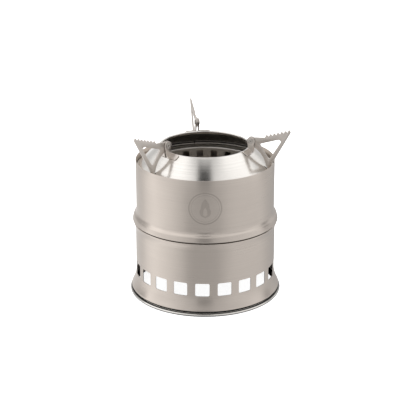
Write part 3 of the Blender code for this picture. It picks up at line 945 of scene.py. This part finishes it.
class STOVE_OT_fire_liner(bpy.types.Operator):
    """Adds the fire liner with its rounded flange and its ring of square air holes"""

    bl_idname = "stove.fire_liner"
    bl_label = "Fire Liner"

    def execute(self, context):
        sizes = context.scene.stove_upper
        sheet = context.scene.stove_base.sheet
        top, low = top_of("fire_chamber"), low_of("fire_chamber")
        hem_r = reach("fire_chamber")
        under = top - sheet
        line = rounded(
            [
                (hem_r - sheet, under - sizes.flange_hem),
                (hem_r - sheet, under),
                (sizes.liner_radius, under),
                (sizes.liner_radius, low + sheet),
                (sizes.floor_bore, low + sheet),
            ],
            [0, 0.0006, sizes.flange_bend, PRESS_BEND, 0], count=8,
        )
        liner = turned_sheet("fire_liner", line, "inside_steel")
        window = window_outline(sizes.jet_size, sizes.jet_size, sizes.jet_corner)
        middle = sizes.jet_high - sizes.jet_size / 2
        cut(liner, window, JET_CUT, places_round(
            sizes.jets, sizes.liner_radius, middle, sizes.first_jet, OUTWARDS,
        ))
        finish_piece(settle(liner), "upper_section", "fire_chamber")
        return {"FINISHED"}


class STOVE_OT_spacer(bpy.types.Operator):
    """Adds the perforated channel between the two walls"""

    bl_idname = "stove.spacer"
    bl_label = "Spacer Channel"

    def execute(self, context):
        top, low = top_of("spacer_ring"), low_of("spacer_ring")
        out, inside = reach("spacer_ring"), bore("spacer_ring")
        line = rounded(
            [(out, top), (out, low), (inside, low), (inside, top)], [0, PRESS_BEND, PRESS_BEND, 0],
        )
        channel = turned_sheet("spacer_channel", line, "inside_steel")
        cut(channel, circle(SPACER_HOLE, 24), FLOOR_CUT, places_round(12, SPACER_CIRCLE, low))
        finish_piece(settle(channel), "upper_section", "spacer_ring")
        return {"FINISHED"}


class STOVE_OT_centring_wire(bpy.types.Operator):
    """Adds the split wire ring that centres the pot ring on the flange"""

    bl_idname = "stove.centring_wire"
    bl_label = "Centring Wire"

    def execute(self, context):
        sizes = context.scene.stove_upper
        lowest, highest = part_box("centring_ring")
        centre_r = reach("centring_ring") - sizes.wire_radius
        second = Vector(hinges()[1]["pos_m"])
        start = math.degrees(math.atan2(second.y, second.x) + sizes.wire_split / 2)
        points = arc((0, 0), centre_r, start, start + 360 - math.degrees(sizes.wire_split), 180)
        curve = bpy.data.curves.new("centring_wire", "CURVE")
        curve.dimensions = "3D"
        curve.bevel_depth = sizes.wire_radius
        curve.bevel_resolution = 5
        curve.use_fill_caps = True
        add_line(curve, points, (lowest.z + highest.z) / 2)
        wire = link("centring_wire", curve, steel("wire_steel"))
        finish_piece(wire, "upper_section", "centring_ring")
        return {"FINISHED"}


class STOVE_OT_grate(bpy.types.Operator):
    """Adds the perforated grate at the bottom of the fire liner"""

    bl_idname = "stove.grate"
    bl_label = "Grate"

    def execute(self, context):
        sizes = context.scene.stove_upper
        lowest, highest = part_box("grate")
        out = reach("grate")
        thick = highest.z - lowest.z
        corners = [(AXIS_GAP, highest.z), (out, highest.z), (out, lowest.z), (AXIS_GAP, lowest.z)]
        outline = rounded(corners, [0, thick * 0.4, thick * 0.4, 0])
        grate = lathe("grate_plate", outline, "inside_steel", steps=GRATE_STEPS)
        middle = (lowest.z + highest.z) / 2
        places = []
        for i in range(4):
            places += places_round(max(1, 6 * i), sizes.grate_pitch * i, middle)
        cut(grate, circle(sizes.grate_hole, 24), FLOOR_CUT, places)
        finish_piece(settle(grate), "grate", "grate")
        return {"FINISHED"}


# ---------------------------------------------------------------- pot ring

CONE_STEPS = 12
SKIRT_BEND = 0.001  # radius between the cone and its short skirt
SKIRT_INSET, SKIRT_DROP = 0.0008, 0.0013  # from the skirt's edge to where that bend starts
LIP_DEPTH = 0.0028  # how far the lip's inner side reaches down the neck
RIVET_GAP, RIVET_RISE, RIVET_ROLL = 0.0003, 0.0005, 0.00025  # of a rivet's head, over the tab


def cone_line(sizes):
    """The cone's outer face from the neck lip to its lower edge, slightly domed."""
    lip_z = NECK_TOP - sizes.lip_radius
    run = sizes.edge_radius - SKIRT_INSET - sizes.neck_radius - sizes.lip_radius
    drop = math.degrees(math.atan2(lip_z - sizes.edge_height, run))
    centre = (sizes.neck_radius + sizes.lip_radius, lip_z)
    lip = arc(centre, sizes.lip_radius, 180, 90 - drop, 12)
    low_centre = (sizes.edge_radius - SKIRT_BEND, sizes.edge_height - SKIRT_DROP)
    edge = arc(low_centre, SKIRT_BEND, 90 - drop, 0, 6)
    start, end = Vector(lip[-1]), Vector(edge[0])
    across = Vector((math.sin(math.radians(drop)), math.cos(math.radians(drop))))
    cone = []
    for i in range(1, CONE_STEPS):
        part = i / CONE_STEPS
        cone.append(tuple(start.lerp(end, part) + across * sizes.bulge * 4 * part * (1 - part)))
    return lip, cone, edge


def height_on_cone(sizes, radius):
    lip, cone, edge = cone_line(sizes)
    line = [lip[-1], *cone, edge[0]]
    for (r0, z0), (r1, z1) in zip(line, line[1:]):
        if r0 <= radius <= r1:
            return z0 + (z1 - z0) * (radius - r0) / (r1 - r0)
    raise ValueError(f"radius {radius} is off the cone")


class STOVE_OT_cone(bpy.types.Operator):
    """Adds the domed cone of the pot ring, with its rolled neck lip"""

    bl_idname = "stove.cone"
    bl_label = "Cone"

    def execute(self, context):
        sizes = context.scene.stove_ring
        lip, cone, edge = cone_line(sizes)
        line = [(sizes.neck_radius, NECK_TOP - LIP_DEPTH), *lip, *cone, *edge, (edge[-1][0], CONE_FOOT)]
        ring = turned_sheet("cone_ring", line, "bright_steel")
        finish_piece(settle(ring), "pot_ring", "pot_ring")
        return {"FINISHED"}


def seat_of(joint):
    """A hinge's frame: X points outwards, Y up and Z along the rivet."""
    along, up = Vector(joint["axis"]).normalized(), Vector((0, 0, 1))
    out = up.cross(along)
    place = Matrix((out, up, along)).transposed().to_4x4()
    place.translation = Vector(joint["pos_m"])
    return place


def tab_rows(sizes, side):
    """Rows of points over a tab's middle surface, from its head down and out along its foot."""
    half = sizes.ear_thickness / 2
    bend_r = sizes.ear_thickness * 0.9
    plane = sizes.ear_gap + half
    head = sizes.ear_head
    parts = [i / 8 for i in range(9)]
    rows = []

    def upright(left, right):
        """A row over the upright part, between two points beside the pivot."""
        left, right = Vector(left), Vector(right)
        rows.append([Vector((*left.lerp(right, part), side * plane)) for part in parts])

    def over_cone(radius, above):
        return height_on_cone(sizes, radius) - PIVOT_HEIGHT + sizes.foot_lift + half + above

    def foot(round_cone, above=0.0, pull=0.0):
        """A row over the foot, some way round the cone, drawn in by pull at each end."""
        low, high = sizes.foot_in + pull, sizes.foot_out - pull
        row = []
        for part in parts:
            radius = low + (high - low) * part
            turn = round_cone / radius
            out = radius * math.cos(turn) - PIVOT_RADIUS
            row.append(Vector((out, over_cone(radius, above), side * radius * math.sin(turn))))
        rows.append(row)

    for turn in (80, 65, 50, 35, 20, 10, 0):
        x, y = head * math.cos(math.radians(turn)), head * math.sin(math.radians(turn))
        upright((-x, y), (x, y))
    left_low, right_low = (
        Vector((radius - PIVOT_RADIUS, over_cone(radius, bend_r)))
        for radius in (sizes.foot_in, sizes.foot_out)
    )
    for part in (0.25, 0.5, 0.75, 1.0):
        upright(
            Vector((-head, 0)).lerp(left_low, part**1.2), Vector((head, 0)).lerp(right_low, part**1.2),
        )
    for turn in (22.5, 45, 67.5, 90):
        across, up = 1 - math.cos(math.radians(turn)), 1 - math.sin(math.radians(turn))
        foot(plane + bend_r * across, bend_r * up)
    corner = (sizes.foot_out - sizes.foot_in) * 0.3
    start, end = plane + bend_r, sizes.foot_length + sizes.ear_gap - corner
    for part in (0.3, 0.6, 0.85):
        foot(start + (end - start) * part)
    for turn in (0, 30, 60, 80):
        across, up = math.sin(math.radians(turn)), 1 - math.cos(math.radians(turn))
        foot(end + corner * across, pull=corner * up)
    return rows


class STOVE_OT_hinge_tabs(bpy.types.Operator):
    """Adds the bent tabs welded to the cone, two for each support"""

    bl_idname = "stove.hinge_tabs"
    bl_label = "Hinge Tabs"

    def execute(self, context):
        sizes = context.scene.stove_ring
        for number, joint in enumerate(hinges(), start=1):
            for word, side in (("left", 1), ("right", -1)):
                self.add_tab(sizes, seat_of(joint), f"{number}_{word}", side)
        return {"FINISHED"}

    def add_tab(self, sizes, seat, which, side):
        shape = bmesh.new()
        grid = [[shape.verts.new(seat @ point) for point in row] for row in tab_rows(sizes, side)]
        for upper, lower in zip(grid, grid[1:]):
            for i in range(len(upper) - 1):
                shape.faces.new((upper[i], upper[i + 1], lower[i + 1], lower[i]))
        tab = link(f"hinge_tab_{which}", closed_mesh("hinge_tab", shape), steel("tab_steel"))
        solid = tab.modifiers.new("Sheet", "SOLIDIFY")
        solid.thickness = sizes.ear_thickness
        solid.offset = 0
        apply_modifiers(tab)
        middle = Matrix.Translation((0, 0, side * (sizes.ear_gap + sizes.ear_thickness / 2)))
        cut(tab, circle(sizes.rivet_hole, 30), sizes.ear_thickness * 3, [seat @ middle])
        break_edges(tab, sizes.ear_thickness * 0.16, 50)
        finish_piece(settle(tab), "pot_ring", f"hinge_ear_{which}")


class STOVE_OT_rivets(bpy.types.Operator):
    """Adds the hollow rivets that the supports turn on"""

    bl_idname = "stove.rivets"
    bl_label = "Rivets"

    def execute(self, context):
        sizes = context.scene.stove_ring
        inner = sizes.ear_gap + sizes.ear_thickness + RIVET_GAP
        outer = inner + RIVET_RISE
        head, bore_r, roll = sizes.rivet_head, sizes.rivet_bore, RIVET_ROLL
        half = [(sizes.shank_radius, inner - 0.0001), (sizes.shank_radius + 0.0001, inner)]
        half += [(head - 0.0001, inner), *arc((head - roll, outer - roll), roll, 0, 90, 4)]
        half += arc((bore_r + roll * 1.6, outer - roll * 1.6), roll * 1.6, 90, 180, 5)
        outline = half + [(r, -z) for r, z in reversed(half)]
        for number, joint in enumerate(hinges(), start=1):
            rivet = lathe(f"hollow_rivet_{number}", outline, "wire_steel", steps=SMALL_STEPS)
            rivet.data.transform(seat_of(joint))
            finish_piece(settle(rivet), "pot_ring", f"rivet_{number}")
        return {"FINISHED"}


# ---------------------------------------------------------------- pot supports

# Places on a support's outline and its window, out from the pivot and up from it.
FIRST_TOOTH, SHOULDER = (0.0156, 0.0076), (0.0136, 0.0046)
TIP = ((0.0394, 0.0132), (0.0396, 0.012))
FOOT, FOOT_RADIUS = (0.0179, -0.0241), 0.0017
INNER_EDGE = ((0.0154, -0.0235), (0.0108, -0.0129), (0.0046, -0.0068))
WINDOW, WINDOW_BENDS = ((0.0088, -0.0021), (0.0184, -0.0173), (0.0324, 0.0056)), (0.0011, 0.0017, 0.002)
CREST, TIP_CREST = 0.0003, 0.0006  # half the flat on top of a tooth, and of the one at the tip


def arc_through(first, middle, last, count):
    """Points along the arc that passes through three points."""
    (ax, ay), (bx, by), (cx, cy) = first, middle, last
    d = 2 * (ax * (by - cy) + bx * (cy - ay) + cx * (ay - by))
    a2, b2, c2 = ax * ax + ay * ay, bx * bx + by * by, cx * cx + cy * cy
    centre = (
        (a2 * (by - cy) + b2 * (cy - ay) + c2 * (ay - by)) / d,
        (a2 * (cx - bx) + b2 * (ax - cx) + c2 * (bx - ax)) / d,
    )
    start = math.degrees(math.atan2(ay - centre[1], ax - centre[0]))
    end = math.degrees(math.atan2(cy - centre[1], cx - centre[0]))
    turn = (end - start + 180) % 360 - 180
    return arc(centre, math.dist(first, centre), start, start + turn, count)


def tooth_line(sizes):
    """The toothed top edge, from the pivot outwards, ending in a level crest at the tip."""
    points = []
    for i in range(sizes.teeth):
        x, y = FIRST_TOOTH[0] + sizes.pitch_out * i, FIRST_TOOTH[1] + sizes.pitch_up * i
        last = i == sizes.teeth - 1
        flat = TIP_CREST if last else CREST
        points += [(x - flat, y), (x + flat, y)]
        if not last:
            left, low = x + sizes.pitch_out / 2, y + sizes.pitch_up / 2 - sizes.tooth_depth
            points += [(left + i * 0.0002, low + rise) for i, rise in enumerate((0.00008, 0, 0.00008))]
    return points


class STOVE_OT_pot_supports(bpy.types.Operator):
    """Adds the three toothed plates that a pot stands on"""

    bl_idname = "stove.pot_supports"
    bl_label = "Pot Supports"

    def execute(self, context):
        sizes = context.scene.stove_support
        head = arc((0, 0), sizes.head_radius, 240, 96, 24)
        foot = arc(FOOT, FOOT_RADIUS, 335, 205, 12)
        outline = [*head, SHOULDER, *tooth_line(sizes), *TIP, *foot, *arc_through(*INNER_EDGE, 14)]
        window = rounded(WINDOW, WINDOW_BENDS, closed=True, count=9)
        hole = circle(context.scene.stove_ring.rivet_hole, 30)
        for number, joint in enumerate(hinges(), start=1):
            name = f"support_plate_{number}"
            support = plate(name, [outline, window, hole], sizes.thickness, "plate_steel")
            break_edges(support, sizes.break_edge, 60)
            settle(support, crease=30).data.transform(seat_of(joint))
            finish_piece(support, joint["child"], f"pot_support_{number}")
        return {"FINISHED"}


# ---------------------------------------------------------------- stage

def floor_material():
    """A pale floor, bright to the camera, open to the light from below, and painted dark under the stove
    and just past its foot as painted shade.
    """
    made = bpy.data.materials.new("pale_floor")
    made.use_nodes = True
    tree = made.node_tree
    shader = tree.nodes["Principled BSDF"]
    shader.inputs["Base Color"].default_value = (0.9, 0.9, 0.9, 1.0)
    shader.inputs["Roughness"].default_value = 0.9
    shader.inputs["Emission Color"].default_value = (1.0, 1.0, 1.0, 1.0)
    shader.inputs["Emission Strength"].default_value = 0.9
    seen = put(tree, "ShaderNodeLightPath").outputs["Is Camera Ray"]
    clear = put(tree, "ShaderNodeBsdfTransparent").outputs[0]
    # Painted shade: a dark disc under the stove, out to a little past the foot ring, seen by every ray but
    # the camera's.
    shade = put(tree, "ShaderNodeBsdfDiffuse", {"Color": (0.03, 0.03, 0.028, 1.0)}).outputs[0]
    out = put(tree, "ShaderNodeVectorMath", {0: own_place(tree)}, operation="LENGTH").outputs["Value"]
    beyond = band(tree, out, reach("foot_ring"), reach("foot_ring") * 1.05)
    unseen = put(tree, "ShaderNodeMixShader", {0: beyond, 1: shade, 2: clear}).outputs[0]
    mix = put(tree, "ShaderNodeMixShader", {0: seen, 1: unseen, 2: shader.outputs[0]}).outputs[0]
    tree.links.new(mix, tree.nodes["Material Output"].inputs["Surface"])
    return made


def levels_around(tree, turn, levels):
    """Brightness by the angle round the stove, from (degrees to the right of the front, level)."""
    ramp = put(tree, "ShaderNodeValToRGB", {"Fac": turn})
    ramp.color_ramp.interpolation = "EASE"
    stops = ramp.color_ramp.elements
    while len(stops) < len(levels):
        stops.new(0.5)
    for stop, (degrees, level) in zip(stops, levels):
        stop.position = degrees / 360 + 0.5
        stop.color = (level / 2, level / 2, level / 2, 1.0)
    return times(tree, ramp.outputs["Color"], 2.0)


# Brightness of the tent at and below the horizon, just above it, at its seam and high up.
LOW_LEVELS = (
    (-180, 0.95), (-168, 0.95), (-150, 0.78), (-128, 0.78), (-108, 1.08), (-90, 1.17), (-72, 1.02),
    (-57, 0.9), (-46, 0.77), (-38, 0.7), (-29, 0.53), (-18, 0.49), (-8, 0.53), (8, 0.54),
    (20, 0.52), (31, 0.64), (41, 0.73), (59, 0.77), (79, 0.77), (103, 0.78), (128, 0.62),
    (152, 0.5), (172, 0.55), (180, 0.95),
)
MIDDLE_LEVELS = (
    (-180, 0.8), (-150, 0.6), (-128, 0.36), (-106, 0.36), (-98, 1.35), (-90, 1.1), (-80, 0.92),
    (-57, 0.88), (-40, 0.85), (-20, 0.7), (20, 0.7), (45, 0.8), (70, 0.9), (88, 1.05), (98, 1.0),
    (105, 0.22), (113, 0.25), (122, 0.75), (150, 0.6), (180, 0.8),
)
SEAM_LEVELS = (
    (-180, 0.9), (-140, 0.9), (-115, 0.6), (-101, 1.5), (-90, 1.45), (-66, 1.15), (-54, 0.95),
    (-40, 0.7), (-20, 0.55), (20, 0.55), (45, 0.62), (66, 0.66), (84, 0.85), (99, 0.9),
    (112, 0.5), (124, 0.6), (140, 1.0), (180, 0.9),
)
HIGH_LEVELS = (
    (-180, 1.0), (-150, 0.95), (-120, 1.1), (-95, 1.3), (-60, 1.2), (-30, 1.0), (0, 0.9),
    (30, 0.9), (60, 1.0), (90, 1.15), (114, 1.25), (135, 1.2), (160, 0.95), (180, 1.0),
)
# Degrees above the horizon between which the tent goes over to each table, and to its roof.
TENT_STEPS = (((-6.0, 5.0), MIDDLE_LEVELS), ((12.0, 22.0), SEAM_LEVELS), ((28.0, 40.0), HIGH_LEVELS))
ROOF_RISE = (62.0, 78.0)
ROOF_SPREAD, ROOF_LEVELS = (0.12, 0.6), (0.68, 0.99)  # sideways from the camera's plane
CAMERA_PLANE = -0.012  # where the tent's opening is, to the right of the axis
OPENING_SIDE, OPENING_FOOT, OPENING_TOP = (0.1, 0.17), (45.0, 60.0), (77.0, 83.5)
LENS_SIDE, LENS_FOOT, LENS_TOP, LENS_LEVEL = (0.14, 0.24), (-1.0, 3.0), (12.0, 20.0), 0.04


def studio_world():
    """A white tent of light with a dark opening high in front, and a dark spot at the lens."""
    world = bpy.data.worlds.new("light_tent")
    bpy.context.scene.world = world
    world.use_nodes = True
    tree = world.node_tree
    way = split(tree, put(tree, "ShaderNodeTexCoord").outputs["Generated"])
    front = times(tree, way["Y"], -1.0)
    around = calc(tree, "ARCTAN2", way["X"], front)
    turn = calc(tree, "MULTIPLY_ADD", around, 0.5 / math.pi, 0.5)
    rise = times(tree, calc(tree, "ARCSINE", way["Z"]), 180 / math.pi)
    level = levels_around(tree, turn, LOW_LEVELS)
    for heights, levels in TENT_STEPS:
        level = mixed(tree, band(tree, rise, *heights), level, levels_around(tree, turn, levels))
    ahead = band(tree, front, 0.0, 0.03)
    sideways = calc(tree, "ABSOLUTE", calc(tree, "SUBTRACT", way["X"], CAMERA_PLANE))
    roof = mixed(tree, band(tree, sideways, *ROOF_SPREAD), *ROOF_LEVELS)
    level = mixed(tree, band(tree, rise, *ROOF_RISE), level, roof)
    below_top = put(tree, "ShaderNodeMapRange", {
        "Value": rise, "From Min": OPENING_TOP[1], "From Max": OPENING_TOP[0],
    })
    opening = times(tree, fade(tree, sideways, *OPENING_SIDE), below_top.outputs["Result"])
    opening = times(tree, opening, band(tree, rise, *OPENING_FOOT))
    level = mixed(tree, times(tree, opening, ahead), level, 0.0)
    lens = times(tree, fade(tree, sideways, *LENS_SIDE), band(tree, rise, *LENS_FOOT))
    lens = times(tree, lens, fade(tree, rise, *LENS_TOP))
    level = mixed(tree, times(tree, lens, ahead), level, LENS_LEVEL)
    seen = put(tree, "ShaderNodeLightPath").outputs["Is Camera Ray"]
    tree.links.new(mixed(tree, seen, level, 1.0), tree.nodes["Background"].inputs["Color"])


class STOVE_OT_stage(bpy.types.Operator):
    """Adds the floor, the light and the camera"""

    bl_idname = "stove.stage"
    bl_label = "Stage"

    def execute(self, context):
        stage = context.scene.stove_stage
        mesh = bpy.data.meshes.new("floor")
        shape = bmesh.new()
        bmesh.ops.create_grid(shape, x_segments=1, y_segments=1, size=stage.floor_size / 2)
        shape.to_mesh(mesh)
        shape.free()
        link("floor", mesh, floor_material())
        studio_world()
        lens = bpy.data.cameras.new("camera")
        lens.lens = stage.lens
        lens.sensor_width = 36.0
        camera = link("camera", lens)
        camera.location = (0.0, -stage.distance, stage.height)
        camera.rotation_euler = (math.pi / 2 - stage.pitch, 0.0, -stage.turn)
        context.scene.camera = camera
        context.scene.view_settings.view_transform = "Standard"
        return {"FINISHED"}


# ---------------------------------------------------------------- panel and registration

OPERATORS = (
    STOVE_OT_foot_ring,
    STOVE_OT_base_wall,
    STOVE_OT_ash_pan,
    STOVE_OT_outer_shell,
    STOVE_OT_fire_liner,
    STOVE_OT_spacer,
    STOVE_OT_centring_wire,
    STOVE_OT_grate,
    STOVE_OT_cone,
    STOVE_OT_hinge_tabs,
    STOVE_OT_rivets,
    STOVE_OT_pot_supports,
    STOVE_OT_stage,
)


class STOVE_PT_sidebar(bpy.types.Panel):
    """Lists the stove's pieces and their sizes"""

    bl_idname = "STOVE_PT_sidebar"
    bl_label = "Camp Stove"
    bl_space_type = "VIEW_3D"
    bl_region_type = "UI"
    bl_category = "Camp Stove"

    def draw(self, context):
        for kind in OPERATORS:
            self.layout.operator(kind.bl_idname)
        for name, group in SETTINGS.items():
            box = self.layout.box()
            box.label(text=group.__doc__)
            for value in group.__annotations__:
                box.prop(getattr(context.scene, name), value)


def register():
    for name, group in SETTINGS.items():
        bpy.utils.register_class(group)
        setattr(bpy.types.Scene, name, bpy.props.PointerProperty(type=group))
    for kind in (*OPERATORS, STOVE_PT_sidebar):
        bpy.utils.register_class(kind)


def unregister():
    for kind in (STOVE_PT_sidebar, *reversed(OPERATORS)):
        bpy.utils.unregister_class(kind)
    for name, group in reversed(SETTINGS.items()):
        delattr(bpy.types.Scene, name)
        bpy.utils.unregister_class(group)


def main():
    register()
    for kind in OPERATORS:
        getattr(bpy.ops.stove, kind.bl_idname.partition(".")[2])()


if __name__ == "__main__":
    main()
